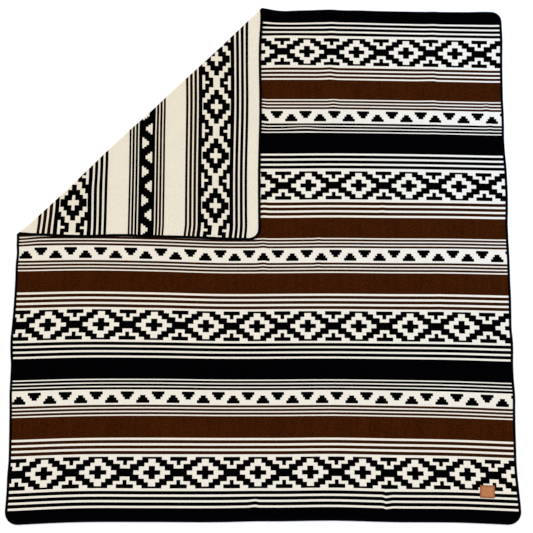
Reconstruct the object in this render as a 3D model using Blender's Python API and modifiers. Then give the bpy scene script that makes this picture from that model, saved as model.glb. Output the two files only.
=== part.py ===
"""Striped woven blanket lying face up on a level surface, with one corner turned over onto its face.

The cloth is first described flat: across runs from left to right and along from the bottom edge to
the top one, both from the cloth's middle. lay() then carries each flat point to where it lies, with
the weave's drift, the soft creases, the lifted edge and the turned corner. The origin is on the
underside at the cloth's middle, +Y runs along the cloth and +Z is up. Lengths are in metres.
"""

import math

import bmesh
import bpy
import numpy as np

COLLECTION = "striped_blanket"

# Whole size, over the edging. The corners run anticlockwise from the top right
WIDTH = 1.550
LENGTH = 1.643
CORNER_RADII = (0.030, 0.037, 0.043, 0.043)
CLOTH_THICKNESS = 0.0028

# Yarn edging: a C-shaped section that grips the cloth's edge
EDGING_REACH = 0.0088
EDGING_WALL = 0.0012
EDGING_HALF_HEIGHT = 0.0027
EDGING_ROUNDING = 0.0012
CLEARANCE = 0.0003
SLOT_SPACE = 0.0006

# The cloth rises to the edging, which is the thicker of the two and lies on the surface
EDGE_LIFT = EDGING_HALF_HEIGHT - CLOTH_THICKNESS / 2
LIFT_FULL = 0.0105
LIFT_NONE = 0.038

# Turned corner: the fold leaves the left edge and reaches the top edge at these places
FOLD_ON_LEFT = 0.067
FOLD_ON_TOP = -0.001
FOLD_RADIUS = 0.0031
FOLD_STEPS = 8
LAYER_GAP = 0.0007
SETTLE_LENGTH = 0.090
FOLD_BOW_REACH = 0.070

# Leather label
LABEL_WIDTH = 0.045
LABEL_HEIGHT = 0.038
LABEL_THICKNESS = 0.0016
LABEL_CORNER = 0.0025
LABEL_ACROSS = 0.679
LABEL_ALONG = -0.726
LABEL_TURN = math.radians(-2.0)

# Spacing of the mesh rows, and steps in each rounded corner
ROW_SPACING = 0.055
CORNER_STEPS = 7
MERGE = 0.0008

MM = 0.001

# How far each weft line has drifted towards the top edge, in millimetres.
# The first row gives the places across the cloth, the others start with their place along it.
DRIFT_ACROSS = (-775, -560, -340, -120, -10, 45, 210, 400, 590, 775)
DRIFT = (
    (-825, (-14.5, -5, -4, -4.5, -2, -2, 0, -4.5, -6, -14)),
    (-740, (-11, -2.5, -2.5, -2.5, -1.5, -1.5, 0, -4, -6, -13)),
    (-500, (-7, -1, 0.5, -1, -1, -1, 0, -2.5, -6.5, -13.5)),
    (-200, (0.5, 5.5, 3, -1.5, -1.5, -1, -0.5, -2, -3.5, -8)),
    (60, (8, 9.5, 5.5, -1.5, -1.5, -1.5, 0, -1.5, -2.5, -6)),
    (300, (17, 12.5, 5, -2.5, -2.5, -2.5, -1.5, -3, -6, -10)),
    (560, (19, 12.5, 6.5, -1.5, -1, -1, -1.5, -4.5, -8, -12)),
    (760, (18, 11, 8.5, 1.5, 0, -1, -1.5, -5, -8, -11)),
    (825, (18, 11, 9.5, 2.5, 6.5, -2.8, 0.7, -4.6, -7.5, -8)),
)

# How far the two side edges stand out, in millimetres: along, left, right
SIDES = (
    (-825, 2, 7.5),
    (-790, 0, 7),
    (-750, -2, 5),
    (-715, -3, 2.5),
    (-680, -3, 0),
    (-640, -5, -1.5),
    (-590, -4.5, -1),
    (-530, -3, -0.5),
    (-480, -1.5, 1),
    (-430, 0.5, 2.5),
    (-385, 0, 0.5),
    (-345, 0, 0),
    (-310, 3, 1.5),
    (-270, 4.5, 2.5),
    (-230, 2, 0),
    (-180, -0.5, 1),
    (-130, -2, 2),
    (-80, -2.5, 1.5),
    (-40, -2, 2),
    (0, -3.5, 2),
    (30, -0.5, 1.4),
    (50, 0.5, 1),
    (67, 2, 1),
    (84, 2.5, 1),
    (105, 4.5, 1),
    (150, 7, 3.5),
    (200, 8.8, 5),
    (250, 9, 5),
    (300, 7, 4),
    (345, 3.8, 1.5),
    (390, 2.2, 0.5),
    (435, 2.8, 2),
    (480, 3, 2.5),
    (530, 3, 2),
    (580, 3, 3),
    (630, 3.5, 4),
    (680, 4.5, 6),
    (730, 5.5, 8),
    (780, 5.5, 7.5),
    (825, 5, 6),
)

# How far the turned edge lies inside a straight line, in millimetres: run from its left end, move
FOLD_BOW = (
    (-40, 2),
    (10, 4.5),
    (60, 6.2),
    (120, 6.8),
    (200, 6.4),
    (300, 4.3),
    (400, 1.2),
    (480, 0.3),
    (580, 1.8),
    (680, 0.2),
    (880, 0),
    (960, -1.5),
    (1040, -3),
    (1100, -3),
)

# Soft creases, in millimetres: middle across, middle along, half length, half width, height,
# and the turn of the crease from the along direction in degrees
CREASES = (
    (225, 640, 230, 26, 2.6, 0),
    (225, -540, 110, 26, 2.0, -8),
    (552, 760, 90, 26, 2.2, 6),
    (552, 440, 90, 26, 1.8, 0),
    (552, -132, 100, 26, 2.0, 4),
    (363, -740, 90, 26, 2.0, -5),
    (120, 404, 150, 26, 1.5, 88),
    (-420, -540, 80, 26, 1.4, 5),
    (-420, 560, 120, 30, 1.8, 45),
)


def smooth(share):
    """Soft step from 0 to 1 as share goes from 0 to 1."""
    share = np.clip(share, 0.0, 1.0)
    return share * share * (3.0 - 2.0 * share)


def curve_through(knots, values, places):
    """Smooth curve through one column of values, or one column for each place, read at the places."""
    slopes = np.gradient(values, knots, axis=0)
    places = np.clip(places, knots[0], knots[-1])
    low = np.clip(np.searchsorted(knots, places) - 1, 0, len(knots) - 2)
    column = np.arange(len(places)) if values.shape[1] > 1 else 0
    span = knots[low + 1] - knots[low]
    share = (places - knots[low]) / span
    rise = smooth(share)
    start = values[low, column] + slopes[low, column] * span * share * (1.0 - share) ** 2
    end = slopes[low + 1, column] * span * share**2 * (share - 1.0)
    return start + (values[low + 1, column] - values[low, column]) * rise + end


def drift(across, along):
    """How far the weft at each flat point has moved towards the top edge."""
    knots = np.array(DRIFT_ACROSS) * MM
    rows = [curve_through(knots, np.array([row]).T * MM, across) for _, row in DRIFT]
    return curve_through(np.array([place for place, _ in DRIFT]) * MM, np.array(rows), along)


def side_shift(across, along):
    """Sideways move of each flat point, which fades from the side edges to the middle."""
    table = np.array(SIDES) * MM
    left = curve_through(table[:, 0], table[:, 1:2], along)
    right = curve_through(table[:, 0], table[:, 2:3], along)
    share = across / (WIDTH / 2)
    return np.where(share > 0, right, -left) * share**2


def inside_distance(across, along):
    """How far each flat point lies inside the rounded outline."""
    corner = np.where(along > 0, np.where(across > 0, 0, 1), np.where(across > 0, 3, 2))
    radius = np.array(CORNER_RADII)[corner]
    past_x = np.abs(across) - (WIDTH / 2 - radius)
    past_y = np.abs(along) - (LENGTH / 2 - radius)
    round_part = np.hypot(np.maximum(past_x, 0.0), np.maximum(past_y, 0.0))
    return radius - round_part - np.minimum(np.maximum(past_x, past_y), 0.0)


def rise_height(across, along):
    """Height of the cloth's middle layer over its resting height: the edge's lift and the creases."""
    depth = inside_distance(across, along)
    height = EDGE_LIFT * smooth((LIFT_NONE - depth) / (LIFT_NONE - LIFT_FULL))
    for row in CREASES:
        middle_x, middle_y, half_length, half_width, peak = (value * MM for value in row[:5])
        turn = math.radians(row[5])
        far_x = across - middle_x
        far_y = along - middle_y
        run = far_y * math.cos(turn) + far_x * math.sin(turn)
        side = far_x * math.cos(turn) - far_y * math.sin(turn)
        height = height + peak * smooth(1.0 - np.abs(side) / half_width) * smooth(
            2.0 * (1.0 - np.abs(run) / half_length)
        )
    return height


def fold_start():
    """A point of the line where the cloth starts to turn over, and the unit direction past it."""
    left = np.array([-WIDTH / 2, FOLD_ON_LEFT])
    top = np.array([FOLD_ON_TOP, LENGTH / 2])
    run = (top - left) / np.linalg.norm(top - left)
    out = np.array([-run[1], run[0]])
    return left - out * (FOLD_RADIUS + CLOTH_THICKNESS / 2), out


def spread(across, along):
    """Place of each flat point on the level cloth, before its corner is turned over."""
    return across + side_shift(across, along), along + drift(across, along)


def bow(x, y):
    """Inward move of the laid cloth near its turned edge, which is not quite straight."""
    start, out = fold_start()
    table = np.array(FOLD_BOW) * MM
    run = (x - start[0]) * out[1] - (y - start[1]) * out[0]
    depth = (start[0] - x) * out[0] + (start[1] - y) * out[1]
    return curve_through(table[:, 0], table[:, 1:2], run) * smooth(1.0 - depth / FOLD_BOW_REACH)


def turn_corner(x, y, height, rise):
    """Turns the corner over: height is over the cloth's middle layer, which has risen by rise."""
    start, out = fold_start()
    past = (x - start[0]) * out[0] + (y - start[1]) * out[1]
    angle = np.clip(past / FOLD_RADIUS, 0.0, math.pi)
    turned = np.maximum(past - math.pi * FOLD_RADIUS, 0.0)
    lever = FOLD_RADIUS - height
    move = lever * np.sin(angle) - turned - np.maximum(past, 0.0)
    settle = 2.0 * FOLD_RADIUS - CLOTH_THICKNESS - LAYER_GAP
    z = CLOTH_THICKNESS / 2 + rise + FOLD_RADIUS - lever * np.cos(angle)
    z = z - settle * smooth(turned / SETTLE_LENGTH)
    laid_x = x + move * out[0]
    laid_y = y + move * out[1]
    inward = bow(laid_x, laid_y)
    return np.stack([laid_x - inward * out[0], laid_y - inward * out[1], z], axis=1)


def lay(across, along, height):
    """Carries flat points, at a height over the cloth's middle layer, to where they lie."""
    return turn_corner(*spread(across, along), height, rise_height(across, along))


def outline(inset):
    """Points of the flat outline, anticlockwise, drawn in by inset."""
    points = []
    for corner, (side_x, side_y) in enumerate(((1, 1), (-1, 1), (-1, -1), (1, -1))):
        radius = CORNER_RADII[corner]
        for step in range(CORNER_STEPS + 1):
            angle = math.radians(90.0) * (corner + step / CORNER_STEPS)
            x = side_x * (WIDTH / 2 - radius) + (radius - inset) * math.cos(angle)
            y = side_y * (LENGTH / 2 - radius) + (radius - inset) * math.sin(angle)
            points.append((x, y, 0.0))
    return points


def cut(bm, planes):
    """Cuts a mesh's faces along upright planes, each a point and a normal."""
    for point, normal in planes:
        parts = bm.verts[:] + bm.edges[:] + bm.faces[:]
        bmesh.ops.bisect_plane(
            bm, geom=parts, dist=MERGE, plane_co=(*point, 0.0), plane_no=(*normal, 0.0)
        )


def row_planes():
    """Planes through the flat cloth: an even grid, the lifted edge and the creases."""
    places_x = set()
    places_y = set()
    for places, size in ((places_x, WIDTH), (places_y, LENGTH)):
        count = round(size / ROW_SPACING)
        places.update(round(size * (step / count - 0.5), 4) for step in range(1, count))
        places.update(side * (size / 2 - depth) for side in (-1, 1) for depth in (LIFT_FULL, LIFT_NONE))
    for middle_x, middle_y, _, half_width, _, turn in CREASES:
        for side in (-1, 0, 1):
            if abs(turn) < 20:
                places_x.add((middle_x + side * half_width) * MM)
            elif abs(turn) > 70:
                places_y.add((middle_y + side * half_width) * MM)
    return [((x, 0.0), (1.0, 0.0)) for x in sorted(places_x)] + [
        ((0.0, y), (0.0, 1.0)) for y in sorted(places_y)
    ]


def fold_planes():
    """Planes along the fold, through the level cloth before its corner is turned over."""
    start, out = fold_start()
    step_length = math.pi * FOLD_RADIUS / FOLD_STEPS
    return [(start + out * step_length * step, out) for step in range(-1, FOLD_STEPS + 2)]


def lay_mesh(mesh):
    """Cuts a flat mesh where it will bend and moves its points to where the cloth lies."""
    bm = bmesh.new()
    bm.from_mesh(mesh)
    cut(bm, row_planes())
    flat_layer = bm.verts.layers.float_vector.new("flat")
    flat = np.array([vert.co for vert in bm.verts])
    for vert, x, y in zip(bm.verts, *spread(flat[:, 0], flat[:, 1])):
        vert[flat_layer] = vert.co
        vert.co.xy = (x, y)
    cut(bm, fold_planes())
    flat = np.array([vert[flat_layer] for vert in bm.verts])
    level = np.array([vert.co for vert in bm.verts])
    rise = rise_height(flat[:, 0], flat[:, 1])
    for vert, place in zip(bm.verts, turn_corner(level[:, 0], level[:, 1], level[:, 2], rise)):
        vert.co = place
    bm.verts.layers.float_vector.remove(flat_layer)
    bmesh.ops.recalc_face_normals(bm, faces=bm.faces)
    bm.to_mesh(mesh)
    bm.free()


def new_object(name, data, collection):
    """Links a new object to the collection."""
    obj = bpy.data.objects.new(name, data)
    collection.objects.link(obj)
    return obj


def make_material(name, color, roughness):
    """Plain dielectric material."""
    material = bpy.data.materials.new(name)
    material.use_nodes = True
    shader = material.node_tree.nodes["Principled BSDF"]
    shader.inputs["Base Color"].default_value = (*color, 1.0)
    shader.inputs["Roughness"].default_value = roughness
    shader.inputs["Metallic"].default_value = 0.0
    material.diffuse_color = (*color, 1.0)
    return material


def make_cloth(collection):
    """One sheet, cut round at the corners and laid with its corner turned over."""
    mesh = bpy.data.meshes.new("blanket_cloth")
    bm = bmesh.new()
    bm.faces.new([bm.verts.new(point) for point in outline(EDGING_WALL + SLOT_SPACE)])
    bm.to_mesh(mesh)
    bm.free()
    lay_mesh(mesh)
    cloth = new_object("blanket_cloth", mesh, collection)
    sheet = cloth.modifiers.new("thickness", "SOLIDIFY")
    sheet.thickness = CLOTH_THICKNESS
    sheet.offset = 0.0
    mesh.materials.append(make_material("woven_wool", (0.80, 0.74, 0.64), 0.95))
    return cloth


def edging_section():
    """Section of the edging: x runs in from the outline and y up from the cloth's middle layer."""
    slot = CLOTH_THICKNESS / 2 + CLEARANCE
    upper = [
        (EDGING_WALL, slot),
        (EDGING_REACH, slot),
        (EDGING_REACH - EDGING_ROUNDING, EDGING_HALF_HEIGHT),
        (EDGING_ROUNDING, EDGING_HALF_HEIGHT),
    ]
    lower = [(x, -y) for x, y in reversed(upper)]
    return upper + [(0.0, 0.0)] + lower


def poly_curve(name, points, collection):
    """Closed flat curve with straight stretches between its points."""
    curve = bpy.data.curves.new(name, "CURVE")
    curve.dimensions = "2D"
    curve.fill_mode = "NONE"
    spline = curve.splines.new("POLY")
    spline.points.add(len(points) - 1)
    for point, place in zip(spline.points, points):
        point.co = (place[0], place[1], 0.0, 1.0)
    spline.use_cyclic_u = True
    return new_object(name, curve, collection)


def make_edging(collection):
    """The edging's section swept round the flat outline, then laid with the cloth."""
    section = poly_curve("edging_section", edging_section(), collection)
    path = poly_curve("edging_path", outline(0.0), collection)
    path.data.bevel_mode = "OBJECT"
    path.data.bevel_object = section
    graph = bpy.context.evaluated_depsgraph_get()
    mesh = bpy.data.meshes.new_from_object(path.evaluated_get(graph))
    mesh.name = "edge_binding"
    for helper in (path, section):
        bpy.data.objects.remove(helper)
    lay_mesh(mesh)
    mesh.materials.clear()
    mesh.materials.append(make_material("edging_yarn", (0.012, 0.011, 0.012), 0.9))
    return new_object("edge_binding", mesh, collection)


def make_label(collection):
    """Flat leather patch with rounded corners, lying on the cloth."""
    mesh = bpy.data.meshes.new("leather_label")
    bm = bmesh.new()
    bmesh.ops.create_cube(bm, size=1.0)
    size = (LABEL_WIDTH, LABEL_HEIGHT, LABEL_THICKNESS)
    bmesh.ops.scale(bm, vec=size, verts=bm.verts)
    upright = [edge for edge in bm.edges if abs(edge.verts[0].co.z - edge.verts[1].co.z) > MERGE]
    bmesh.ops.bevel(bm, geom=upright, offset=LABEL_CORNER, segments=3, profile=0.5, affect="EDGES")
    bm.to_mesh(mesh)
    bm.free()
    label = new_object("leather_label", mesh, collection)
    seat = lay(np.array([LABEL_ACROSS]), np.array([LABEL_ALONG]), CLOTH_THICKNESS / 2 + CLEARANCE)
    label.location = seat[0] + np.array([0.0, 0.0, LABEL_THICKNESS / 2])
    label.rotation_euler = (0.0, 0.0, LABEL_TURN)
    mesh.materials.append(make_material("tan_leather", (0.53, 0.23, 0.09), 0.6))
    return label


def main():
    for obj in list(bpy.data.objects):
        bpy.data.objects.remove(obj)
    collection = bpy.data.collections.new(COLLECTION)
    bpy.context.scene.collection.children.link(collection)
    make_cloth(collection)
    make_edging(collection)
    make_label(collection)


main()
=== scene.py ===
import math

import bmesh
import bpy
import numpy as np
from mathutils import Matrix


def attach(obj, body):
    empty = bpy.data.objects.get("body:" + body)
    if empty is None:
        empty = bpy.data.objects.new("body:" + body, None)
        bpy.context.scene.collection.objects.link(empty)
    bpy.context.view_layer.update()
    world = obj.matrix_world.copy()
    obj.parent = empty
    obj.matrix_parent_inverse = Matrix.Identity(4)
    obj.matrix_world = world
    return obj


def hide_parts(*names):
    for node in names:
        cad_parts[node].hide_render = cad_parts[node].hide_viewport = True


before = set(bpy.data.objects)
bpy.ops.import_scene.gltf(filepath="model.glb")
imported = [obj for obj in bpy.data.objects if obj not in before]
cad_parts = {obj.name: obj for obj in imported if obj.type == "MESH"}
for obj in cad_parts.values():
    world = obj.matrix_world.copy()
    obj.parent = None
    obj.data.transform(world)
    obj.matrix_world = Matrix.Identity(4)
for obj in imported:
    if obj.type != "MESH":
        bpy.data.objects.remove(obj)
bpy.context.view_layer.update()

MM = 0.001

# Sizes of the solids in metres, the same as in the part's source.
WIDTH = 1.550
LENGTH = 1.643

# Corners run from the top right by the top left to the bottom right.
CORNER_RADII = (0.030, 0.037, 0.043, 0.043)
CLOTH_THICKNESS = 0.0028
EDGING_HALF_HEIGHT = 0.0027
CLOTH_INSET = 0.0018
EDGE_LIFT = EDGING_HALF_HEIGHT - CLOTH_THICKNESS / 2
LIFT_FULL = 0.0105
LIFT_NONE = 0.038
FOLD_ON_LEFT = 0.067
FOLD_ON_TOP = -0.001
FOLD_RADIUS = 0.0031
FOLD_STEPS = 16
LAYER_GAP = 0.0007
SETTLE_LENGTH = 0.090
FOLD_BOW_REACH = 0.070
CLEARANCE = 0.0003
LABEL_WIDTH = 0.045
LABEL_HEIGHT = 0.038
LABEL_THICKNESS = 0.0016
LABEL_CORNER = 0.0025
LABEL_ACROSS = 0.679
LABEL_ALONG = -0.726
LABEL_TURN = math.radians(-2.0)

# Camera: its tip from straight down, its distance from the point that it looks at, and its lens.
CAMERA_TIP = math.radians(12.2)
CAMERA_DISTANCE = 4.063
CAMERA_AIM = (0.014, -0.0381)
CAMERA_LENS = 87.46

# How far the weft has moved towards the top edge, in mm, at these places across and along.
DRIFT_ACROSS = (-775, -560, -340, -120, -10, 45, 210, 400, 590, 775)
DRIFT = (
    (-825, (-14.5, -5, -4, -4.5, -2, -2, 0, -4.5, -6, -14)),
    (-740, (-11, -2.5, -2.5, -2.5, -1.5, -1.5, 0, -4, -6, -13)),
    (-500, (-7, -1, 0.5, -1, -1, -1, 0, -2.5, -6.5, -13.5)),
    (-200, (0.5, 5.5, 3, -1.5, -1.5, -1, -0.5, -2, -3.5, -8)),
    (60, (8, 9.5, 5.5, -1.5, -1.5, -1.5, 0, -1.5, -2.5, -6)),
    (300, (17, 12.5, 5, -2.5, -2.5, -2.5, -1.5, -3, -6, -10)),
    (560, (19, 12.5, 6.5, -1.5, -1, -1, -1.5, -4.5, -8, -12)),
    (760, (18, 11, 8.5, 1.5, 0, -1, -1.5, -5, -8, -11)),
    (825, (18, 11, 9.5, 2.5, 6.5, -2.8, 0.7, -4.6, -7.5, -8)),
)

# Outward move of the left and right edges, in mm: place along, left, right.
SIDES = (
    (-825, 2, 7.5),
    (-790, 0, 7),
    (-750, -2, 5),
    (-715, -3, 2.5),
    (-680, -3, 0),
    (-640, -5, -1.5),
    (-590, -4.5, -1),
    (-530, -3, -0.5),
    (-480, -1.5, 1),
    (-430, 0.5, 2.5),
    (-385, 0, 0.5),
    (-345, 0, 0),
    (-310, 3, 1.5),
    (-270, 4.5, 2.5),
    (-230, 2, 0),
    (-180, -0.5, 1),
    (-130, -2, 2),
    (-80, -2.5, 1.5),
    (-40, -2, 2),
    (0, -3.5, 2),
    (30, -0.5, 1.4),
    (50, 0.5, 1),
    (67, 2, 1),
    (84, 2.5, 1),
    (105, 4.5, 1),
    (150, 7, 3.5),
    (200, 8.8, 5),
    (250, 9, 5),
    (300, 7, 4),
    (345, 3.8, 1.5),
    (390, 2.2, 0.5),
    (435, 2.8, 2),
    (480, 3, 2.5),
    (530, 3, 2),
    (580, 3, 3),
    (630, 3.5, 4),
    (680, 4.5, 6),
    (730, 5.5, 8),
    (780, 5.5, 7.5),
    (825, 5, 6),
)

# Inward move of the turned edge, in mm: run along it from its left end, move.
FOLD_BOW = (
    (-40, 2),
    (10, 4.5),
    (60, 6.2),
    (120, 6.8),
    (200, 6.4),
    (300, 4.3),
    (400, 1.2),
    (480, 0.3),
    (580, 1.8),
    (680, 0.2),
    (880, 0),
    (960, -1.5),
    (1040, -3),
    (1100, -3),
)

# Small pinches in the weft, in mm: place across and along, reach to the left, to the right and
# along, and rise.
PINCHES = (
    (219, 605, 52, 15, 39, 1.6),
    (227, 498, 10, 29, 23, 1.5),
    (556, 561, 71, 10, 84, 1.9),
    (719, 495, 13, 16, 21, 1.9),
    (729, 427, 13, 16, 25, 1.3),
    (-1, 466, 10, 19, 84, 2.3),
    (6, 147, 13, 19, 41, 1.3),
    (138, 416, 84, 64, 14, 2.9),
    (371, -759, 8, 27, 48, -3.0),
    (6, 1, 28, 13, 77, 1.9),
    (178, 48, 13, 13, 16, 1.1),
    (176, -33, 16, 13, 20, 1.3),
    (-19, -768, 27, 12, 24, 2.1),
    (380, 153, 13, 13, 33, 1.0),
    (-775, 45, 20, 78, 48, -2.2),
    (-735, 235, 100, 130, 115, 2.6),
    (-785, 660, 10, 60, 230, -5),
    (110, 822, 45, 60, 40, 1.8),
    (268, 822, 40, 45, 40, -1.3),
    (722, 822, 60, 50, 40, 1.3),
    (300, 762, 220, 260, 34, 1.3),
)
PINCH_STEEPNESS = 1.5

# Creases: place across and along, half length, half width and height in mm, and turn in degrees.
CREASES = (
    (225, 640, 230, 26, 2.6, 0),
    (225, -540, 110, 26, 2.0, -8),
    (552, 760, 90, 26, 2.2, 6),
    (552, 440, 90, 26, 1.8, 0),
    (552, -132, 100, 26, 2.0, 4),
    (363, -740, 90, 26, 2.0, -5),
    (120, 404, 150, 26, 1.5, 88),
    (-420, -540, 80, 26, 1.4, 5),
    (-420, 560, 120, 30, 1.8, 45),
    (-538, -88, 44, 15, 0.8, 3),
    (-279, -88, 40, 15, 0.8, -4),
    (-160, -88, 42, 14, 0.7, 2),
    (185, -88, 42, 15, 0.9, -3),
    (285, -88, 40, 14, 0.7, 5),
    (178, 86, 44, 15, 0.8, 4),
    (448, 86, 42, 15, 0.9, -4),
    (-140, -540, 42, 15, 0.7, 4),
    (-640, -236, 60, 18, 0.8, 8),
    (470, -470, 60, 18, 0.8, -7),
)
CREASE_STEEPNESS = 2.0

# Bands from the top edge down: width in mm, kind, and 1 where the dark yarn is brown.
BANDS = (
    (42.6, "solid", 0),
    (45.4, "stripes", 0),
    (112.2, "diamonds", 0),
    (41.2, "stripes", 1),
    (65.2, "solid", 1),
    (32.9, "stripes", 1),
    (49.3, "triangles", 0),
    (32.0, "stripes", 0),
    (67.1, "solid", 0),
    (50.2, "stripes", 0),
    (113.6, "diamonds", 0),
    (50.1, "stripes", 1),
    (65.8, "solid", 1),
    (32.0, "stripes", 1),
    (48.8, "triangles", 0),
    (32.6, "stripes", 1),
    (64.9, "solid", 1),
    (48.3, "stripes", 1),
    (108.9, "diamonds", 0),
    (48.1, "stripes", 0),
    (63.3, "solid", 0),
    (32.5, "stripes", 0),
    (48.1, "triangles", 0),
    (33.1, "stripes", 1),
    (64.9, "solid", 1),
    (49.2, "stripes", 1),
    (110.8, "diamonds", 0),
    (49.7, "stripes", 0),
    (40.2, "solid", 0),
)

# The kinds of band, and how many stripes, dark and light together, a striped one has.
KINDS = ("solid", "stripes", "diamonds", "triangles")
STRIPES = 6

# How far each patterned band's weft has moved to the right, in mm, at these places across.
PHASE_ACROSS = (-775, -700, -640, -560, -340, -120, 90, 300, 520, 690, 775)
PHASES = (
    (-10, -10.6, -10.5, -9.2, -4.5, -3, -2, -2.5, -3.5, -8.5, -11),
    (-5.5, -4.2, -3.1, -1.5, 3.5, 5.5, 5.5, 5, 5, 1.7, 0),
    (-7, -10.5, -6.8, -1, -6, -2, 0, -1.5, -4.5, -7.8, -9.5),
    (-1, 0.4, 1.5, 3, 9.5, 12, 7, 3, 2.5, 1.2, 0.5),
    (-12, -10.1, -8.5, -6.5, -0.5, -0.5, -4.5, -7.5, -8.5, -9.5, -10),
    (-2, -0.3, 1.1, 3, 9.5, 9.5, 6, 1.5, 0, 0, 0),
    (-11, -9.3, -7.9, -6, -0.5, 2, 0, -2, -4, -6.1, -11),
)

# Diamond repeat in mm, and the dark boxes of a quarter of it: from and to across in chart units,
# and from and to along in rows, both counted from the middle of the motif.
DIAMOND_REPEAT = 160.5
DIAMOND_CENTRE = -13.0
DIAMOND_UNITS = 40
DIAMOND_ROW = 1.51
DIAMOND_DARK = (
    (-1, 7, 28, 30),
    (3, 7, 23, 30),
    (3, 11, 20, 24),
    (6, 11, 15, 21),
    (6, 16, 13, 16),
    (10, 16, 6, 14),
    (10, 21, 5, 7),
    (14, 21, -1, 6),
    (-1, 6, -1, 3.5),
    (-1, 2, 2.5, 12),
    (14, 21, 24, 30),
    (18.9, 21, 15.5, 25),
)

# Triangle repeat in mm: an upright and an upturned triangle of three steps each. The steps overlap,
# so that no gap shows between them.
TRIANGLE_REPEAT = 92.5
TRIANGLE_CENTRE = -744.5
TRIANGLE_STEP = 7.4
TRIANGLE_HALF_WIDTHS = (18.6, 13.0, 7.0)
STEP_OVERLAP = 3.0
UPTURNED_TOP = 7.6
UPRIGHT_TOP = 18.6

# How far the face's dark shapes are grown at each edge in each kind of band, in mm. They are light
# on the back, where less than 0 makes them narrower. On the face a brown stripe is grown less than
# a black one.
FACE_SPREAD = {"stripes": 0.95, "brown": 0.73, "diamonds": 1.55, "triangles": 1.04}
BACK_SPREAD = {"stripes": -1.0, "brown": -1.0, "diamonds": -0.35, "triangles": -0.8}

# Grid of the cloth in metres: its spacing, the rows in a rounded corner, the least gap there, and
# how near a cut takes a point of the grid.
COLUMN_SPACING = 0.0066
ROW_SPACING = 0.0075
CORNER_ROWS = 12
LEAST_ROW_GAP = 0.0004
CUT_SNAP = 0.00002

# Weave in mm: spacing of the warp ends and of the weft picks, and how far a pattern's edge wobbles.
END_PITCH = 2.0
PICK_PITCH = 1.5
WOBBLE = 0.45

# Noises in the cloth, by place in mm: scale, detail and roughness. Streaks run along the cloth.
WOBBLE_NOISE = (0.45, 1.0)
STREAK_NOISE = (0.07, 4.0, 0.65)
MOTTLE_NOISE = (0.19, 2.0, 0.7)
CLOUD_NOISE = (0.012, 3.0, 0.55)
FUZZ_NOISE = (1.1, 3.0, 0.6)
STREAK_STRETCH = 0.12
FACE_TONE = 0.848
BACK_TONE = 0.803
FACE_SPECKLE = 0.05
BACK_SPECKLE = 0.14
DARKEST_TONE = 0.5

# Yarn loops in metres, with their slant in pitches, and the ranges that chance takes: place in
# pitches, width and slant as shares, and reach in mm.
LOOP_PITCH = 0.0032
LOOP_HALF_WIDTH = 0.00166
LOOP_HALF_DEPTH = 0.00057
LOOP_SIDES = 5
LOOP_SLANT = 0.42
LOOP_END_TAPER = 0.72
LOOP_PLACE_RANGE = (-0.07, 0.07)
LOOP_WIDTH_RANGE = (0.93, 1.05)
LOOP_REACH_RANGE = (-0.45, 0.35)
LOOP_SLANT_RANGE = (0.75, 1.2)
LOOP_REACH_DEPTH = 0.003
LOOP_SEED = 11

# Yarn between a loop's points in mm, and its plies' turn in radians for each mm.
LOOP_STEP = 2.0
PLY_TWIST = 5.2

# Ribbon under the loops: its spacing in metres, how far past the fold it is finer, how many of the
# finer places the whole outline would have, and its shade among the loops' ones, from 0 to 1.
CORE_SPACING = 0.006
FOLD_MARGIN = 0.012
FINE_RUNS = 8000
CORE_SEED = 0.2

# The upper half of each path over the edge: mm in from the outline, and height over the middle layer.
LOOP_PATH = ((8.4, 1.72), (6.6, 2.1), (3.2, 2.12), (0.8, 1.15))
CORE_PATH = ((8.4, 1.5), (8.0, 1.95), (1.6, 1.9), (0.62, 1.0))

# Label in mm: points of its corners and sides, its pressed line and its stitches.
LEAST_CORNER = 0.3
CORNER_POINTS = 7
SIDE_POINTS = 8
PRESSED_LINE = 2.1
PRESSED_HALF_WIDTH = 0.15
STITCH_INSET = 3.2
STITCH_PITCH = 3.0
STITCH_HALF_LENGTH = 1.1
STITCH_POINTS = 7
STITCH_RISE = 0.08
STITCH_SINK = 0.36
THREAD_SIDES = 6
THREAD_HALF_WIDTH = 0.28
THREAD_HALF_HEIGHT = 0.24

# Colours of the yarns and the leather: linear red, green and blue. A stripe's brown is partly black.
CREAM = (0.812, 0.748, 0.632)
CREAM_BACK = (0.775, 0.706, 0.572)
BLACK = (0.0004, 0.0004, 0.0008)
BROWN = (0.0378, 0.0080, 0.0011)
BROWN_BACK = (0.0135, 0.0036, 0.0010)
STRIPE_BROWN = 0.75
EDGING_BLACK = (0.0007, 0.0007, 0.0012)
TAN = (0.460, 0.173, 0.055)
TAN_DARK = (0.26, 0.078, 0.020)

# Studio: the light from all round, the cool lamps' colour, and the floor in metres.
STUDIO_LIGHT = 0.78
COOL = (0.10, 0.40, 1.0)
FLOOR_HALF = 30
FLOOR_DROP = 0.0004
FLOOR_GREY = 0.8
FLOOR_GLOW = 0.22


def smooth(share):
    """Soft step from 0 to 1 as share goes from 0 to 1."""
    share = np.clip(share, 0.0, 1.0)
    return share * share * (3.0 - 2.0 * share)


def hump(offset, half, steepness=1.0):
    """Soft hump, 1 in the middle and 0 from half on. A steep one has a flat top."""
    return smooth(steepness * (1.0 - np.abs(offset) / half))


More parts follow.
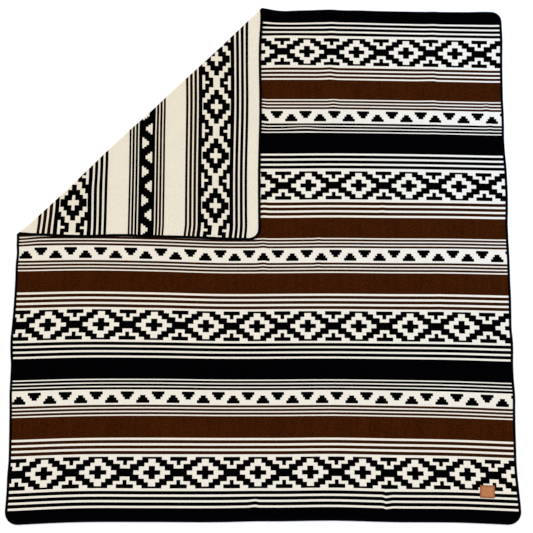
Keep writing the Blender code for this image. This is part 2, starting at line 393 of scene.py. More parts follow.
def curve_through(knots, values, places):
    """Smooth curve through one column of values, or one column for each place, read at the places."""
    slopes = np.gradient(values, knots, axis=0)
    places = np.clip(places, knots[0], knots[-1])
    low = np.clip(np.searchsorted(knots, places) - 1, 0, len(knots) - 2)
    column = np.arange(len(places)) if values.shape[1] > 1 else 0
    span = knots[low + 1] - knots[low]
    share = (places - knots[low]) / span
    rise = smooth(share)
    start = values[low, column] + slopes[low, column] * span * share * (1.0 - share) ** 2
    end = slopes[low + 1, column] * span * share**2 * (share - 1.0)
    return start + (values[low + 1, column] - values[low, column]) * rise + end


def drift(across, along):
    """How far the weft at each flat point has moved towards the top edge."""
    knots = np.array(DRIFT_ACROSS) * MM
    rows = [curve_through(knots, np.array([row]).T * MM, across) for _, row in DRIFT]
    moved = curve_through(np.array([place for place, _ in DRIFT]) * MM, np.array(rows), along)
    for middle_x, middle_y, left, right, half, rise in np.array(PINCHES) * MM:
        far_x = across - middle_x
        near_x = hump(far_x, np.where(far_x < 0, left, right))
        moved = moved + rise * near_x * hump(along - middle_y, half, PINCH_STEEPNESS)
    return moved


def side_shift(across, along):
    """Sideways move of each flat point, which fades from the side edges to the middle."""
    table = np.array(SIDES) * MM
    left = curve_through(table[:, 0], table[:, 1:2], along)
    right = curve_through(table[:, 0], table[:, 2:3], along)
    share = across / (WIDTH / 2)
    return np.where(share > 0, right, -left) * share**2


def inside_distance(across, along):
    """How far each flat point lies inside the rounded outline."""
    corner = np.where(along > 0, np.where(across > 0, 0, 1), np.where(across > 0, 3, 2))
    radius = np.array(CORNER_RADII)[corner]
    past_x = np.abs(across) - (WIDTH / 2 - radius)
    past_y = np.abs(along) - (LENGTH / 2 - radius)
    round_part = np.hypot(np.maximum(past_x, 0.0), np.maximum(past_y, 0.0))
    return radius - round_part - np.minimum(np.maximum(past_x, past_y), 0.0)


def rise_height(across, along):
    """Height of the cloth's middle layer over its resting height: the edge's lift and the creases."""
    depth = inside_distance(across, along)
    height = EDGE_LIFT * smooth((LIFT_NONE - depth) / (LIFT_NONE - LIFT_FULL))
    for row in CREASES:
        middle_x, middle_y, half_length, half_width, peak = (value * MM for value in row[:5])
        turn = math.radians(row[5])
        far_x = across - middle_x
        far_y = along - middle_y
        run = far_y * math.cos(turn) + far_x * math.sin(turn)
        side = far_x * math.cos(turn) - far_y * math.sin(turn)
        near = hump(side, half_width) * hump(run, half_length, CREASE_STEEPNESS)
        height = height + peak * near
    return height


def fold_start():
    """A point of the line where the cloth starts to turn over, and the unit direction past it."""
    left = np.array([-WIDTH / 2, FOLD_ON_LEFT])
    top = np.array([FOLD_ON_TOP, LENGTH / 2])
    run = (top - left) / np.linalg.norm(top - left)
    out = np.array([-run[1], run[0]])
    return left - out * (FOLD_RADIUS + CLOTH_THICKNESS / 2), out


def spread(across, along):
    """Place of each flat point on the level cloth, before its corner is turned over."""
    return across + side_shift(across, along), along + drift(across, along)


def bow(x, y):
    """Inward move of the laid cloth near its turned edge, which is not quite straight."""
    start, out = fold_start()
    table = np.array(FOLD_BOW) * MM
    run = (x - start[0]) * out[1] - (y - start[1]) * out[0]
    depth = (start[0] - x) * out[0] + (start[1] - y) * out[1]
    return curve_through(table[:, 0], table[:, 1:2], run) * smooth(1.0 - depth / FOLD_BOW_REACH)


def turn_corner(x, y, height, rise):
    """Turns the corner over: height is over the cloth's middle layer, which has risen by rise."""
    start, out = fold_start()
    past = (x - start[0]) * out[0] + (y - start[1]) * out[1]
    angle = np.clip(past / FOLD_RADIUS, 0.0, math.pi)
    turned = np.maximum(past - math.pi * FOLD_RADIUS, 0.0)
    lever = FOLD_RADIUS - height
    move = lever * np.sin(angle) - turned - np.maximum(past, 0.0)
    settle = 2.0 * FOLD_RADIUS - CLOTH_THICKNESS - LAYER_GAP
    z = CLOTH_THICKNESS / 2 + rise + FOLD_RADIUS - lever * np.cos(angle)
    z = z - settle * smooth(turned / SETTLE_LENGTH)
    laid_x = x + move * out[0]
    laid_y = y + move * out[1]
    inward = bow(laid_x, laid_y)
    return np.stack([laid_x - inward * out[0], laid_y - inward * out[1], z], axis=1)


def lay(across, along, height):
    """Carries flat points, at a height over the cloth's middle layer, to where they lie."""
    return turn_corner(*spread(across, along), height, rise_height(across, along))


def new_mesh(name, places, faces):
    """Mesh from rows of places and lists of faces' corners, shaded smooth."""
    mesh = bpy.data.meshes.new(name)
    mesh.from_pydata(np.asarray(places).tolist(), [], faces)
    mesh.shade_smooth()
    return mesh


def add_attribute(mesh, name, values, domain="POINT"):
    """Vector attribute, with one row of values for each point or corner."""
    layer = mesh.attributes.new(name, "FLOAT_VECTOR", domain)
    layer.data.foreach_set("vector", np.asarray(values, np.float32).ravel())


def face_outwards(mesh):
    """Turns all faces of a mesh to its outside."""
    bm = bmesh.new()
    bm.from_mesh(mesh)
    bmesh.ops.recalc_face_normals(bm, faces=bm.faces)
    bm.to_mesh(mesh)
    bm.free()


def show_piece(name, mesh, node, material):
    """Object that rides on the part's one body and stands for a CAD node."""
    mesh.materials.append(material)
    piece = bpy.data.objects.new(name, mesh)
    bpy.context.scene.collection.objects.link(piece)
    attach(piece, "root")
    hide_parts(node)
    return piece


class Graph:
    """Adds nodes to a material's tree. A value is a number, a colour or another node's output."""

    def __init__(self, tree):
        self.tree = tree

    def put(self, socket, value):
        """Sets a socket, or links it to another node's output."""
        if isinstance(value, bpy.types.NodeSocket):
            self.tree.links.new(value, socket)
        else:
            socket.default_value = value

    def add(self, kind, values=(), **settings):
        """New node with these settings and with its first or named inputs set."""
        node = self.tree.nodes.new(kind)
        for name, value in settings.items():
            setattr(node, name, value)
        named = values.items() if isinstance(values, dict) else enumerate(values)
        for key, value in named:
            self.put(node.inputs[key], value)
        return node

    def math(self, operation, *values):
        """Result of a Math node."""
        return self.add("ShaderNodeMath", values, operation=operation).outputs[0]

    def mix(self, share, first, second):
        """Mix of two colours."""
        node = self.add("ShaderNodeMix", data_type="RGBA")
        for key, value in ((0, share), (6, first), (7, second)):
            self.put(node.inputs[key], value)
        return node.outputs[2]

    def scale(self, color, amount):
        """Colour made lighter or darker by an amount."""
        values = {0: color, "Scale": amount}
        return self.add("ShaderNodeVectorMath", values, operation="SCALE").outputs[0]

    def bulge(self, value):
        """Rounded section of a row of yarns: 1 in the middle of each whole step and 0 at its ends."""
        side = self.math("SUBTRACT", self.math("FRACT", value), 0.5)
        return self.math("MULTIPLY_ADD", self.math("MULTIPLY", side, side), -4.0, 1.0)

    def parts(self, name):
        """The three numbers of a mesh attribute."""
        node = self.add("ShaderNodeAttribute", attribute_name=name)
        return self.add("ShaderNodeSeparateXYZ", (node.outputs["Vector"],)).outputs[:3]

    def point(self, x, y, z):
        """Vector of three numbers."""
        return self.add("ShaderNodeCombineXYZ", (x, y, z)).outputs[0]

    def noise(self, place, scale, detail=2.0, roughness=0.5):
        """Noise from 0 to 1, about 0.5, at a place."""
        values = {"Vector": place, "Scale": scale, "Detail": detail, "Roughness": roughness}
        return self.add("ShaderNodeTexNoise", values).outputs[0]

    def between(self, value, low, high):
        """1 where value is from low to high."""
        return self.math("COMPARE", value, (low + high) / 2, (high - low) / 2)

    def ramp(self, value, low, high, first, last):
        """Value's range from low to high, carried to first to last and held at both ends."""
        return self.add("ShaderNodeMapRange", (value, low, high, first, last)).outputs[0]

    def boxes(self, x, y, table, grow_x, grow_y):
        """1 inside any box of the table, grown by this much on each side."""
        found = 0.0
        for low_x, high_x, low_y, high_y in table:
            in_x = self.between(x, low_x - grow_x, high_x + grow_x)
            in_y = self.between(y, low_y - grow_y, high_y + grow_y)
            found = self.math("MAXIMUM", self.math("MULTIPLY", in_x, in_y), found)
        return found

    def fold(self, value, centre, repeat, size):
        """Distance from the nearest repeat's centre, where size is one repeat."""
        turns = self.math("MULTIPLY_ADD", value, 1 / repeat, 0.5 - centre / repeat)
        offset = self.math("SUBTRACT", self.math("FRACT", turns), 0.5)
        return self.math("MULTIPLY", self.math("ABSOLUTE", offset), size)


def new_material(name, roughness, specular):
    """Material with its own graph and shader."""
    material = bpy.data.materials.new(name)
    material.use_nodes = True
    shader = material.node_tree.nodes["Principled BSDF"]
    shader.inputs["Roughness"].default_value = roughness
    shader.inputs["Specular IOR Level"].default_value = specular
    return material, Graph(material.node_tree), shader


def finish_material(graph, shader, color, height, strength, distance):
    """Links the colour, and the height as a bump."""
    graph.put(shader.inputs["Base Color"], color)
    values = {"Strength": strength, "Distance": distance, "Height": height}
    bump = graph.add("ShaderNodeBump", values)
    graph.put(shader.inputs["Normal"], bump.outputs[0])


def dark_yarn(graph, across, brown_band, grow):
    """1 where the face's pattern shows the dark yarn, with each band's shapes grown by so much in mm."""
    place, share, kind = graph.parts("weave")

    # In a striped band share counts the stripes, and place is the width of two of them.
    turn = graph.math("FRACT", graph.math("MULTIPLY_ADD", share, 0.5, 0.25))
    inside = graph.math("SUBTRACT", graph.math("ABSOLUTE", graph.math("SUBTRACT", turn, 0.5)), 0.25)
    less = (grow["brown"] - grow["stripes"]) / STRIPE_BROWN
    border = graph.math("MULTIPLY_ADD", brown_band, less, grow["stripes"])
    striped = graph.math("GREATER_THAN", graph.math("MULTIPLY_ADD", inside, place, border), 0.0)

    # In the others share is the distance in from the band's nearer edge, and place runs down the band.
    unit = graph.fold(across, DIAMOND_CENTRE, DIAMOND_REPEAT, DIAMOND_UNITS)
    row = graph.math("MULTIPLY", graph.math("ABSOLUTE", place), 1 / DIAMOND_ROW)
    spread_x = grow["diamonds"] * DIAMOND_UNITS / DIAMOND_REPEAT
    spread_y = grow["diamonds"] / DIAMOND_ROW
    diamonds = graph.boxes(unit, row, DIAMOND_DARK, spread_x, spread_y)
    near = graph.fold(across, TRIANGLE_CENTRE, TRIANGLE_REPEAT, TRIANGLE_REPEAT)
    half = TRIANGLE_REPEAT / 2
    steps = []
    for step, width in enumerate(TRIANGLE_HALF_WIDTHS):
        over = STEP_OVERLAP if step else 0.0
        low = UPTURNED_TOP + TRIANGLE_STEP * step
        steps.append((half - width, half + STEP_OVERLAP, low - over, low + TRIANGLE_STEP))
        low = UPRIGHT_TOP + TRIANGLE_STEP * (len(TRIANGLE_HALF_WIDTHS) - 1 - step)
        steps.append((-STEP_OVERLAP, width, low, low + TRIANGLE_STEP + over))
    triangles = graph.boxes(near, place, steps, grow["triangles"], grow["triangles"])
    border = graph.math("LESS_THAN", share, border)
    diamonds = graph.math("MAXIMUM", diamonds, border)
    triangles = graph.math("MAXIMUM", triangles, border)
    shapes = {"solid": 1.0, "stripes": striped, "diamonds": diamonds, "triangles": triangles}
    dark = 0.0
    for name, shape in shapes.items():
        code = KINDS.index(name)
        dark = graph.math("MULTIPLY_ADD", graph.between(kind, code - 0.5, code + 0.5), shape, dark)
    return dark


def wool_material(name, cream, is_back):
    """Double-faced wool cloth: the bands, their yarns and their weave. The back swaps light and dark."""
    material, graph, shader = new_material(name, 0.97, 0.01)
    across, along, _ = graph.parts("flat")
    phase, _, brown_band = graph.parts("yarn")
    place = graph.point(across, along, 0.0)
    wobble = graph.math("MULTIPLY_ADD", graph.noise(place, *WOBBLE_NOISE), 2 * WOBBLE, -WOBBLE)
    pattern_place = graph.math("SUBTRACT", graph.math("ADD", across, wobble), phase)
    dark = dark_yarn(graph, pattern_place, brown_band, BACK_SPREAD if is_back else FACE_SPREAD)
    pick = graph.math("MULTIPLY", along, 1 / PICK_PITCH)
    row = graph.math("FLOOR", pick)
    end = graph.math("MULTIPLY_ADD", across, 1 / END_PITCH, graph.math("MULTIPLY", row, 0.5))
    # Rounded yarns of the weave, 1 on each yarn's middle and 0 where yarns meet: a bump, and also painted
    # shade in the light yarn's colour.
    yarn = graph.math("MULTIPLY", graph.bulge(end), graph.bulge(pick))
    cell = graph.point(graph.math("FLOOR", end), row, 0.0)
    speck = graph.add("ShaderNodeTexWhiteNoise", (cell,), noise_dimensions="2D").outputs[0]
    stretched = graph.point(across, graph.math("MULTIPLY", along, STREAK_STRETCH), 0.0)
    streak = graph.noise(stretched, *STREAK_NOISE)
    mottle = graph.noise(place, *MOTTLE_NOISE)
    cloudy = graph.noise(place, *CLOUD_NOISE)
    fuzz = graph.noise(place, *FUZZ_NOISE)
    light_tone = BACK_TONE if is_back else FACE_TONE
    speckle = BACK_SPECKLE if is_back else FACE_SPECKLE
    # The light yarn's tone: random streaks, clouds, mottle and speckle, plus painted shade between the
    # yarns, lighter on their crowns and darker where they meet.
    for value, weight in ((streak, 0.05), (cloudy, 0.05), (yarn, 0.05), (mottle, 0.06), (speck, speckle)):
        light_tone = graph.math("MULTIPLY_ADD", value, weight, light_tone)
    light = graph.scale(cream, light_tone)
    dark_tone = graph.ramp(streak, 0.3, 0.7, 0.8, 1.2)
    for value, weight in ((fuzz, 0.7), (speck, 0.7), (mottle, 2.2)):
        centred = graph.math("SUBTRACT", value, 0.5)
        dark_tone = graph.math("MULTIPLY_ADD", centred, weight, dark_tone)
    dark_tone = graph.math("MAXIMUM", dark_tone, DARKEST_TONE)
    brown = BROWN_BACK if is_back else BROWN
    dark_color = graph.mix(brown_band, (*BLACK, 1.0), (*brown, 1.0))
    deep = graph.scale(dark_color, dark_tone)
    color = graph.mix(dark, deep, light) if is_back else graph.mix(dark, light, deep)
    height = graph.math("MULTIPLY_ADD", fuzz, 0.6, yarn)
    finish_material(graph, shader, color, height, 0.55, 0.0005)
    return material


def yarn_material():
    """Thick black overcast yarn with twisted plies."""
    material, graph, shader = new_material("overcast_yarn", 0.95, 0.02)
    along, around, seed = graph.parts("ply")
    place = graph.point(along, around, graph.math("MULTIPLY", seed, 9.0))
    fuzz = graph.noise(place, 2.3, 3.0, 0.6)
    both_plies = graph.math("MULTIPLY", around, 4 * math.pi)
    plies = graph.math("SINE", graph.math("MULTIPLY_ADD", along, PLY_TWIST, both_plies))
    tone = graph.math("MULTIPLY_ADD", fuzz, 1.1, graph.math("MULTIPLY_ADD", seed, 0.35, 0.25))
    # Painted shade along the plies' twist: lighter on their crowns, darker in the grooves between them.
    tone = graph.math("MULTIPLY_ADD", plies, 0.12, tone)
    height = graph.math("MULTIPLY_ADD", plies, 0.5, fuzz)
    finish_material(graph, shader, graph.scale(EDGING_BLACK, tone), height, 0.6, 0.0003)
    return material


def leather_material():
    """Smooth tan leather, burnished darker at its edges, with fine grain and pores."""
    material, graph, shader = new_material("tan_patch_leather", 0.52, 0.3)
    across, along, depth = graph.parts("patch")
    place = graph.point(across, along, 0.0)
    cloudy = graph.noise(place, 0.11, 3.0, 0.6)
    grain = graph.noise(graph.point(graph.math("MULTIPLY", across, 0.45), along, 0.0), 1.5, 4.0, 0.65)
    cells = graph.add("ShaderNodeTexVoronoi", {"Vector": place, "Scale": 1.4}, feature="DISTANCE_TO_EDGE")
    pores = graph.ramp(cells.outputs[0], 0.0, 0.2, 0.0, 1.0)
    wavy = graph.math("MULTIPLY_ADD", graph.noise(place, 0.25, 2.0), 1.4, -0.7)
    burnish = graph.ramp(graph.math("ADD", depth, wavy), 2.8, 6.8, 0.85, 0.0)
    from_line = graph.math("ABSOLUTE", graph.math("SUBTRACT", depth, PRESSED_LINE))
    share = graph.math("MAXIMUM", burnish, graph.ramp(from_line, 0.1, 0.45, 0.55, 0.0))
    share = graph.math("MULTIPLY_ADD", graph.ramp(cloudy, 0.35, 0.75, 0.0, 1.0), 0.28, share)
    share = graph.math("MULTIPLY_ADD", graph.math("SUBTRACT", 1.0, pores), 0.10, share)
    color = graph.mix(graph.math("MINIMUM", share, 1.0), (*TAN, 1.0), (*TAN_DARK, 1.0))
    color = graph.scale(color, graph.ramp(grain, 0.25, 0.75, 0.88, 1.1))
    height = graph.math("MULTIPLY_ADD", pores, 0.6, graph.math("MULTIPLY", grain, 0.8))
    finish_material(graph, shader, color, height, 0.45, 0.0002)
    return material


def thread_material():
    """Tan sewing thread."""
    material, graph, shader = new_material("tan_thread", 0.7, 0.2)
    across, along, _ = graph.parts("patch")
    twist = graph.math("SINE", graph.math("MULTIPLY", graph.math("ADD", across, along), 9.0))
    # Painted shade along the thread's twist: lighter on its crowns, darker in its grooves; the same twist
    # is the bump.
    tone = graph.math("MULTIPLY_ADD", twist, 0.12, 0.8)
    finish_material(graph, shader, graph.scale(TAN, tone), twist, 0.4, 0.0001)
    return material


def band_edges():
    """Distance of each band's top from the cloth's top edge, and of the last one's end, in mm."""
    return np.concatenate([[0.0], np.cumsum([band[0] for band in BANDS])])


def grid_rows():
    """Places of the cloth's rows along it: the band edges, the rounded corners and an even filling."""
    end = LENGTH / 2 - CLOTH_INSET
    fixed = [LENGTH / 2 - edge * MM for edge in band_edges()[1:-1]] + [-end, end]
    for radius, side in zip(CORNER_RADII, (1, 1, -1, -1)):
        for step in range(1, CORNER_ROWS):
            reach = (radius - CLOTH_INSET) * math.sin(math.radians(90.0) * step / CORNER_ROWS)
            place = side * (LENGTH / 2 - radius + reach)
            if min(abs(place - other) for other in fixed) > LEAST_ROW_GAP:
                fixed.append(place)
    fixed.sort()
    rows = []
    for low, high in zip(fixed, fixed[1:]):
        count = math.ceil((high - low) / ROW_SPACING)
        rows += [low + (high - low) * step / count for step in range(count)]
    return np.array(rows + [fixed[-1]])


def half_width(rows, top, bottom):
    """How far the cloth shown reaches from its middle at each row, on the side with these corners."""
    radius = np.where(rows > 0, CORNER_RADII[top], CORNER_RADII[bottom])
    past = np.maximum(np.abs(rows) - (LENGTH / 2 - radius), 0.0)
    return WIDTH / 2 - radius + np.sqrt(np.maximum((radius - CLOTH_INSET) ** 2 - past**2, 0.0))


def cloth_grid():
    """The level cloth as a mesh, cut where it will bend: places, faces and each point's flat place."""
    rows = grid_rows()
    columns = round(WIDTH / COLUMN_SPACING)
    left = -half_width(rows, 1, 2)
    right = half_width(rows, 0, 3)
    across = np.linspace(left, right, columns + 1, axis=1).ravel()
    along = np.repeat(rows, columns + 1)
    first = (np.arange(len(rows) - 1)[:, None] * (columns + 1) + np.arange(columns)).ravel()
    faces = np.stack([first, first + 1, first + columns + 2, first + columns + 1], axis=1)
    level_x, level_y = spread(across, along)
    level = np.stack([level_x, level_y, 0.0 * level_x], axis=1)
    mesh = new_mesh("level_cloth", level, faces.tolist())
    add_attribute(mesh, "flat", np.stack([across, along, 0.0 * along], axis=1) / MM)
    bm = bmesh.new()
    bm.from_mesh(mesh)
    start, out = fold_start()
    for step in range(-1, FOLD_STEPS + 2):
        place = start + out * math.pi * FOLD_RADIUS * step / FOLD_STEPS
        plane = {"plane_co": (*place, 0.0), "plane_no": (*out, 0.0)}
        parts = bm.verts[:] + bm.edges[:] + bm.faces[:]
        bmesh.ops.bisect_plane(bm, geom=parts, dist=CUT_SNAP, **plane)
    bmesh.ops.triangulate(bm, faces=[face for face in bm.faces if len(face.verts) > 4])
    layer = bm.verts.layers.float_vector["flat"]
    level = np.array([vert.co for vert in bm.verts])
    flat = np.array([vert[layer] for vert in bm.verts])
    bm.verts.index_update()
    faces = [[vert.index for vert in face.verts] for face in bm.faces]
    bm.free()
    bpy.data.meshes.remove(mesh)
    return level, flat, faces


def weave_values(flat, faces):
    """What the bands are drawn from, for each face's corners, and those corners.

    The first rows hold place, share and kind, and the second ones phase, a blank and brownness.
    """
    corners = np.concatenate([np.array(face) for face in faces])
    counts = np.array([len(face) for face in faces])
    owner = np.repeat(np.arange(len(faces)), counts)
    down = LENGTH / 2 / MM - flat[corners, 1]
    middle = np.bincount(owner, down) / counts
    edges = band_edges()
    band = np.clip(np.searchsorted(edges, middle) - 1, 0, len(BANDS) - 1)[owner]
    widths = np.array([row[0] for row in BANDS])[band]
    kinds = np.array([row[1] for row in BANDS])
    codes = np.array([KINDS.index(kind) for kind in kinds])[band]
    below_solid = np.append(False, kinds[:-1] == "solid")[band]
    inside = down - edges[band]
    striped = (kinds == "stripes")[band]
    stripes = np.where(below_solid, inside, widths - inside) / widths * STRIPES
    share = np.where(striped, stripes, np.minimum(inside, widths - inside))
    place = np.where((kinds == "diamonds")[band], inside - widths / 2, inside)
    place = np.where(striped, widths * 2 / STRIPES, place)
    brown = np.array([row[2] for row in BANDS])[band] * np.where(striped, STRIPE_BROWN, 1.0)
    phase = np.zeros(len(corners))
    patterned = np.flatnonzero(np.isin(kinds, ("diamonds", "triangles")))
    for index, row in zip(patterned, PHASES):
        phase = np.where(band == index, np.interp(flat[corners, 0], PHASE_ACROSS, row), phase)
    weave = np.stack([place, share, codes], axis=1)
    return weave, np.stack([phase, 0.0 * phase, brown], axis=1), corners


def make_cloth():
    """The two faces of the double-woven cloth, laid with its corner turned over."""
    level, flat, faces = cloth_grid()
    rise = rise_height(flat[:, 0] * MM, flat[:, 1] * MM)
    made = []
    for name, side, cream in (("cloth_face", 1, CREAM), ("cloth_reverse", -1, CREAM_BACK)):
        places = turn_corner(level[:, 0], level[:, 1], side * CLOTH_THICKNESS / 2, rise)
        turned = faces if side > 0 else [face[::-1] for face in faces]
        mesh = new_mesh(name, places, turned)
        weave, yarn, corners = weave_values(flat, turned)
        add_attribute(mesh, "flat", flat)
        add_attribute(mesh, "weave", weave, "CORNER")
        add_attribute(mesh, "yarn", yarn, "CORNER")
        chart = mesh.uv_layers.new(name="OFBake")
        share = flat[corners, :2] * MM / (WIDTH, LENGTH) + 0.5
        chart.uv.foreach_set("vector", share.astype(np.float32).ravel())
        material = wool_material(name + "_wool", cream, side < 0)
        made.append(show_piece(name, mesh, "blanket_cloth", material))
    return made


def outline_knots():
    """Run along the outline at each change from straight to round, and the corner's arc there."""
    radius = np.array(CORNER_RADII)[[3, 0, 0, 1, 1, 2, 2, 3, 3]]
    centre_x = np.array((1, 1, 1, -1, -1, -1, -1, 1, 1)) * (WIDTH / 2 - radius)
    centre_y = np.array((-1, 1, 1, 1, 1, -1, -1, -1, -1)) * (LENGTH / 2 - radius)
    angle = np.array((0, 0, 1, 1, 2, 2, 3, 3, 4)) * math.pi / 2
    straight = np.maximum(np.abs(np.diff(centre_x)), np.abs(np.diff(centre_y)))
    runs = np.concatenate([[0.0], np.cumsum(straight + np.diff(angle) * radius[1:])])
    return runs, centre_x, centre_y, radius, angle


def edge_place(run, depth):
    """Flat place at a run along the outline and a depth in from it."""
    runs, centre_x, centre_y, radius, angle = outline_knots()
    run = run % runs[-1]
    turn = np.interp(run, runs, angle)
    reach = np.interp(run, runs, radius) - depth
    across = np.interp(run, runs, centre_x) + reach * np.cos(turn)
    return across, np.interp(run, runs, centre_y) + reach * np.sin(turn)


def both_sides(path):
    """A path's upper half followed by its mirror image under the cloth, in metres."""
    upper = np.array(path) * MM
    return np.concatenate([upper, upper[::-1] * (1, -1)])


def sweep_faces(rings, sides, closed_sides, closed_rings, start=0):
    """Quads between rings of points that follow each other."""
    ring = np.arange(rings if closed_rings else rings - 1)
    side = np.arange(sides if closed_sides else sides - 1)
    low = ring[:, None] * sides
    high = (ring[:, None] + 1) % rings * sides
    after = (side + 1) % sides
    quads = np.stack([low + side, low + after, high + after, high + side], axis=2)
    return quads.reshape(-1, 4) + start


def edging_core():
    """Dark ribbon under the yarn loops: places, faces and the ply values."""
    total = outline_knots()[0][-1]
    runs = np.linspace(0.0, total, round(total / CORE_SPACING), endpoint=False)
    fine = np.linspace(0.0, total, FINE_RUNS)
    start, out = fold_start()
    x, y = spread(*edge_place(fine, 0.0))
    past = (x - start[0]) * out[0] + (y - start[1]) * out[1]
    near = (past > -FOLD_MARGIN) & (past < math.pi * FOLD_RADIUS + FOLD_MARGIN)
    runs = np.unique(np.concatenate([runs, fine[near][:-1]]))
    path = both_sides(CORE_PATH)
    run = np.repeat(runs, len(path))
    depth = np.tile(path[:, 0], len(runs))
    height = np.tile(path[:, 1], len(runs))
    across, along = edge_place(run, depth)
    faces = sweep_faces(len(runs), len(path), False, True)
    ply = np.stack([run / MM, 0.0 * run, np.full_like(run, CORE_SEED)], axis=1)
    return lay(across, along, height), faces, ply


def edging_loops():
    """Slanted loops of thick yarn sewn over the edge, side by side: places, faces and the ply values."""
    total = outline_knots()[0][-1]
    count = round(total / LOOP_PITCH)
    chance = np.random.default_rng(LOOP_SEED)
    path = both_sides(LOOP_PATH)
    points = len(path)
    ahead = np.gradient(path, axis=0)
    ahead /= np.linalg.norm(ahead, axis=1)[:, None]
    normal = np.stack([ahead[:, 1], -ahead[:, 0]], axis=1)
    turns = np.arange(LOOP_SIDES) / LOOP_SIDES * 2 * math.pi
    taper = np.ones(points)
    taper[[0, -1]] = LOOP_END_TAPER
    slant = np.linspace(-LOOP_SLANT, LOOP_SLANT, points)
    pitch = total / count
    middle = (np.arange(count) + chance.uniform(*LOOP_PLACE_RANGE, count)) * pitch
    wide = LOOP_HALF_WIDTH * chance.uniform(*LOOP_WIDTH_RANGE, count)
    reach = chance.uniform(*LOOP_REACH_RANGE, count) * MM
    lean = chance.uniform(*LOOP_SLANT_RANGE, count)
    sideways = wide[:, None, None] * np.cos(turns) * taper[:, None]
    run = middle[:, None, None] + (lean[:, None] * slant * pitch)[:, :, None] + sideways
    thick = LOOP_HALF_DEPTH * np.sin(turns)
    inner = smooth((path[:, 0] - LOOP_REACH_DEPTH) / LOOP_REACH_DEPTH)
    depth = path[:, 0, None] + normal[:, 0, None] * thick + (reach[:, None] * inner)[:, :, None]
    height = np.broadcast_to(path[:, 1, None] + normal[:, 1, None] * thick, run.shape)
    depth = np.broadcast_to(depth, run.shape)
    across, along = edge_place(run.ravel(), depth.ravel())
    places = lay(across, along, height.ravel())
    one = sweep_faces(points, LOOP_SIDES, True, False)
    faces = (one[None] + np.arange(count)[:, None, None] * points * LOOP_SIDES).reshape(-1, 4)
    along_yarn = np.broadcast_to(np.arange(points)[None, :, None] * LOOP_STEP, run.shape)
    around = np.broadcast_to(np.arange(LOOP_SIDES) / LOOP_SIDES, run.shape)
    seed = np.broadcast_to(chance.random(count)[:, None, None], run.shape)
    return places, faces, np.stack([along_yarn.ravel(), around.ravel(), seed.ravel()], axis=1)


def make_edging():
    """Overcast yarn all round the cloth."""
    core, core_faces, core_ply = edging_core()
    loops, loop_faces, loop_ply = edging_loops()
    places = np.concatenate([core, loops])
    faces = np.concatenate([core_faces, loop_faces + len(core)])
    mesh = new_mesh("yarn_edging", places, faces.tolist())
    add_attribute(mesh, "ply", np.concatenate([core_ply, loop_ply]))
    face_outwards(mesh)
    return show_piece("yarn_edging", mesh, "edge_binding", yarn_material())


def patch_ring(inset, height):
    """One closed ring of the label's surface at a height, drawn in by inset from its outline."""
    radius = max(LABEL_CORNER / MM - inset, LEAST_CORNER)
    half_x = LABEL_WIDTH / MM / 2 - inset - radius
    half_y = LABEL_HEIGHT / MM / 2 - inset - radius
    points = []
    for corner, (side_x, side_y) in enumerate(((1, 1), (-1, 1), (-1, -1), (1, -1))):
        for step in range(CORNER_POINTS):
            angle = math.radians(90.0) * (corner + step / (CORNER_POINTS - 1))
            x = side_x * half_x + radius * math.cos(angle)
            y = side_y * half_y + radius * math.sin(angle)
            points.append((x, y, height))
        far_x = x - 2 * half_x * (side_x if corner in (0, 2) else 0)
        far_y = y - 2 * half_y * (side_y if corner in (1, 3) else 0)
        for share in np.arange(1, SIDE_POINTS) / SIDE_POINTS:
            points.append((x + (far_x - x) * share, y + (far_y - y) * share, height))
    return points


def label_profile():
    """Section of the label from under its rim to near its middle: inset and height of each ring."""
    thick = LABEL_THICKNESS / MM
    return (
        (6.0, 0.0),
        (0.5, 0.0),
        (0.12, 0.12),
        (0.0, 0.4),
        (0.0, thick - 0.6),
        (0.10, thick - 0.28),
        (0.32, thick - 0.10),
        (0.7, thick - 0.02),
        (1.2, thick),
        (1.7, thick),
        (PRESSED_LINE - PRESSED_HALF_WIDTH, thick - 0.12),
        (PRESSED_LINE, thick - 0.16),
        (PRESSED_LINE + PRESSED_HALF_WIDTH, thick - 0.12),
        (2.5, thick),
        (3.2, thick),
        (5.0, thick - 0.04),
        (9.0, thick - 0.05),
        (14.0, thick - 0.05),
    )


def set_down(piece):
    """Turns a piece of the label and sets it down on the cloth."""
    seat = lay(np.array([LABEL_ACROSS]), np.array([LABEL_ALONG]), CLOTH_THICKNESS / 2 + CLEARANCE)
    cosine, sine = math.cos(LABEL_TURN), math.sin(LABEL_TURN)
    places = np.empty(len(piece.data.vertices) * 3)
    piece.data.vertices.foreach_get("co", places)
    places = places.reshape(-1, 3)
    places[:, :2] = places[:, :2] @ np.array([[cosine, sine], [-sine, cosine]])
    piece.data.vertices.foreach_set("co", (places + seat[0]).ravel())
    piece.data.update()
    return piece


def make_label():
    """Bare leather patch with rounded edges and a pressed line along its border."""
    profile = label_profile()
    rings = [patch_ring(inset, height) for inset, height in profile]
    sides = len(rings[0])
    places = np.array([point for ring in rings for point in ring])
    inset = np.repeat([row[0] for row in profile], sides)
    faces = sweep_faces(len(rings), sides, True, False).tolist()
    faces.append(list(range(sides))[::-1])
    faces.append(list(range((len(rings) - 1) * sides, len(rings) * sides)))
    mesh = new_mesh("leather_patch", places * MM, faces)
    add_attribute(mesh, "patch", np.stack([places[:, 0], places[:, 1], inset], axis=1))
    face_outwards(mesh)
    material = leather_material()
    return set_down(show_piece("leather_patch", mesh, "leather_label", material))


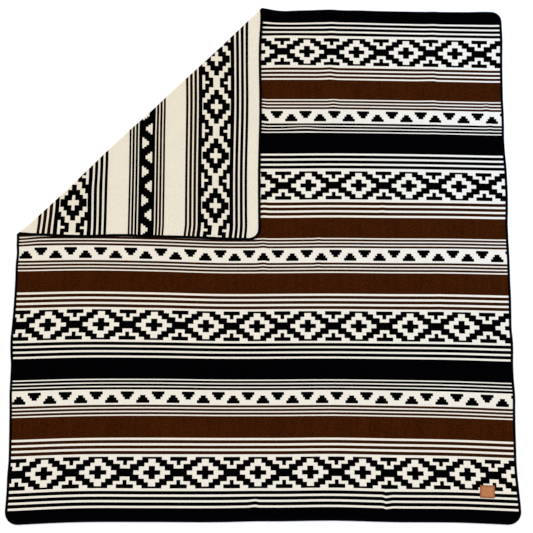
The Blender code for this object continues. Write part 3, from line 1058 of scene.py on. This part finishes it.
def make_stitches():
    """Short stitches of tan thread round the label, sunk at their ends."""
    top = LABEL_THICKNESS / MM
    half_x = LABEL_WIDTH / MM / 2 - STITCH_INSET
    half_y = LABEL_HEIGHT / MM / 2 - STITCH_INSET
    places = []
    faces = []
    for axis, reach, other in ((0, half_x, half_y), (1, half_y, half_x)):
        count = round(2 * reach / STITCH_PITCH)
        for side in (-1, 1):
            for step in range(count):
                middle = -reach + 2 * reach * (step + 0.5) / count
                for share in np.linspace(-1.0, 1.0, STITCH_POINTS):
                    lift = top + STITCH_RISE - STITCH_SINK * share**4
                    for turn in range(THREAD_SIDES):
                        angle = turn / THREAD_SIDES * 2 * math.pi
                        run = middle + share * STITCH_HALF_LENGTH
                        off = side * other + THREAD_HALF_WIDTH * math.cos(angle)
                        place = (run, off) if axis == 0 else (off, run)
                        places.append((*place, lift + THREAD_HALF_HEIGHT * math.sin(angle)))
                first = len(places) - STITCH_POINTS * THREAD_SIDES
                faces.append(sweep_faces(STITCH_POINTS, THREAD_SIDES, True, False, first))
    places = np.array(places)
    mesh = new_mesh("patch_stitching", places * MM, np.concatenate(faces).tolist())
    add_attribute(mesh, "patch", places)
    face_outwards(mesh)
    material = thread_material()
    return set_down(show_piece("patch_stitching", mesh, "leather_label", material))


def make_floor():
    """Large pale floor just under the blanket."""
    signs = ((-1, -1), (1, -1), (1, 1), (-1, 1))
    corners = [(FLOOR_HALF * x, FLOOR_HALF * y, -FLOOR_DROP) for x, y in signs]
    mesh = new_mesh("floor", corners, [(0, 1, 2, 3)])
    floor = bpy.data.objects.new("floor", mesh)
    bpy.context.scene.collection.objects.link(floor)
    material, _, shader = new_material("pale_floor", 1.0, 0.0)
    shader.inputs["Base Color"].default_value = (FLOOR_GREY, FLOOR_GREY, FLOOR_GREY, 1.0)
    shader.inputs["Emission Color"].default_value = (1.0, 1.0, 1.0, 1.0)
    shader.inputs["Emission Strength"].default_value = FLOOR_GLOW
    mesh.materials.append(material)


def add_lamp(name, kind, power, color):
    """New lamp and its light."""
    light = bpy.data.lights.new(name, kind)
    light.energy = power
    light.color = color
    lamp = bpy.data.objects.new(name, light)
    bpy.context.scene.collection.objects.link(lamp)
    return lamp, light


def make_lights():
    """Soft even light from all round, a wide key, a weak fill and two weak cool lamps overhead."""
    world = bpy.data.worlds.new("studio")
    world.use_nodes = True
    background = world.node_tree.nodes["Background"]
    background.inputs["Color"].default_value = (1.0, 1.0, 1.0, 1.0)
    background.inputs["Strength"].default_value = STUDIO_LIGHT
    bpy.context.scene.world = world
    for name, power, width, color, tip, turn in (
        ("key", 1.17, 12, (1.0, 0.985, 0.965), 38, 215),
        ("fill", 0.3, 45, (1.0, 0.99, 0.98), 45, 60),
    ):
        lamp, light = add_lamp(name, "SUN", power, color)
        light.angle = math.radians(width)
        lamp.rotation_euler = (math.radians(tip), 0.0, math.radians(turn))
    for name, power, width, place in (
        ("cool_side", 115, 50, (1.05, 0.48, 2.4)),
        ("cool_front", 30, 70, (0.0, -0.95, 2.4)),
    ):
        lamp, light = add_lamp(name, "SPOT", power, COOL)
        light.spot_size = math.radians(width)
        light.spot_blend = 1.0
        light.shadow_soft_size = 0.5
        lamp.location = place


def make_camera():
    """Camera over the cloth, tipped as in the photograph."""
    data = bpy.data.cameras.new("camera")
    data.sensor_width = 36.0
    data.lens = CAMERA_LENS
    data.clip_end = 100.0
    camera = bpy.data.objects.new("camera", data)
    back = CAMERA_DISTANCE * math.sin(CAMERA_TIP)
    camera.location = (CAMERA_AIM[0], CAMERA_AIM[1] - back, CAMERA_DISTANCE * math.cos(CAMERA_TIP))
    camera.rotation_euler = (CAMERA_TIP, 0.0, 0.0)
    bpy.context.scene.collection.objects.link(camera)
    bpy.context.scene.camera = camera


bpy.context.scene.view_settings.view_transform = "Standard"
make_camera()
make_lights()
make_floor()
cloth_face, cloth_reverse = make_cloth()
edging = make_edging()
label = make_label()
stitching = make_stitches()
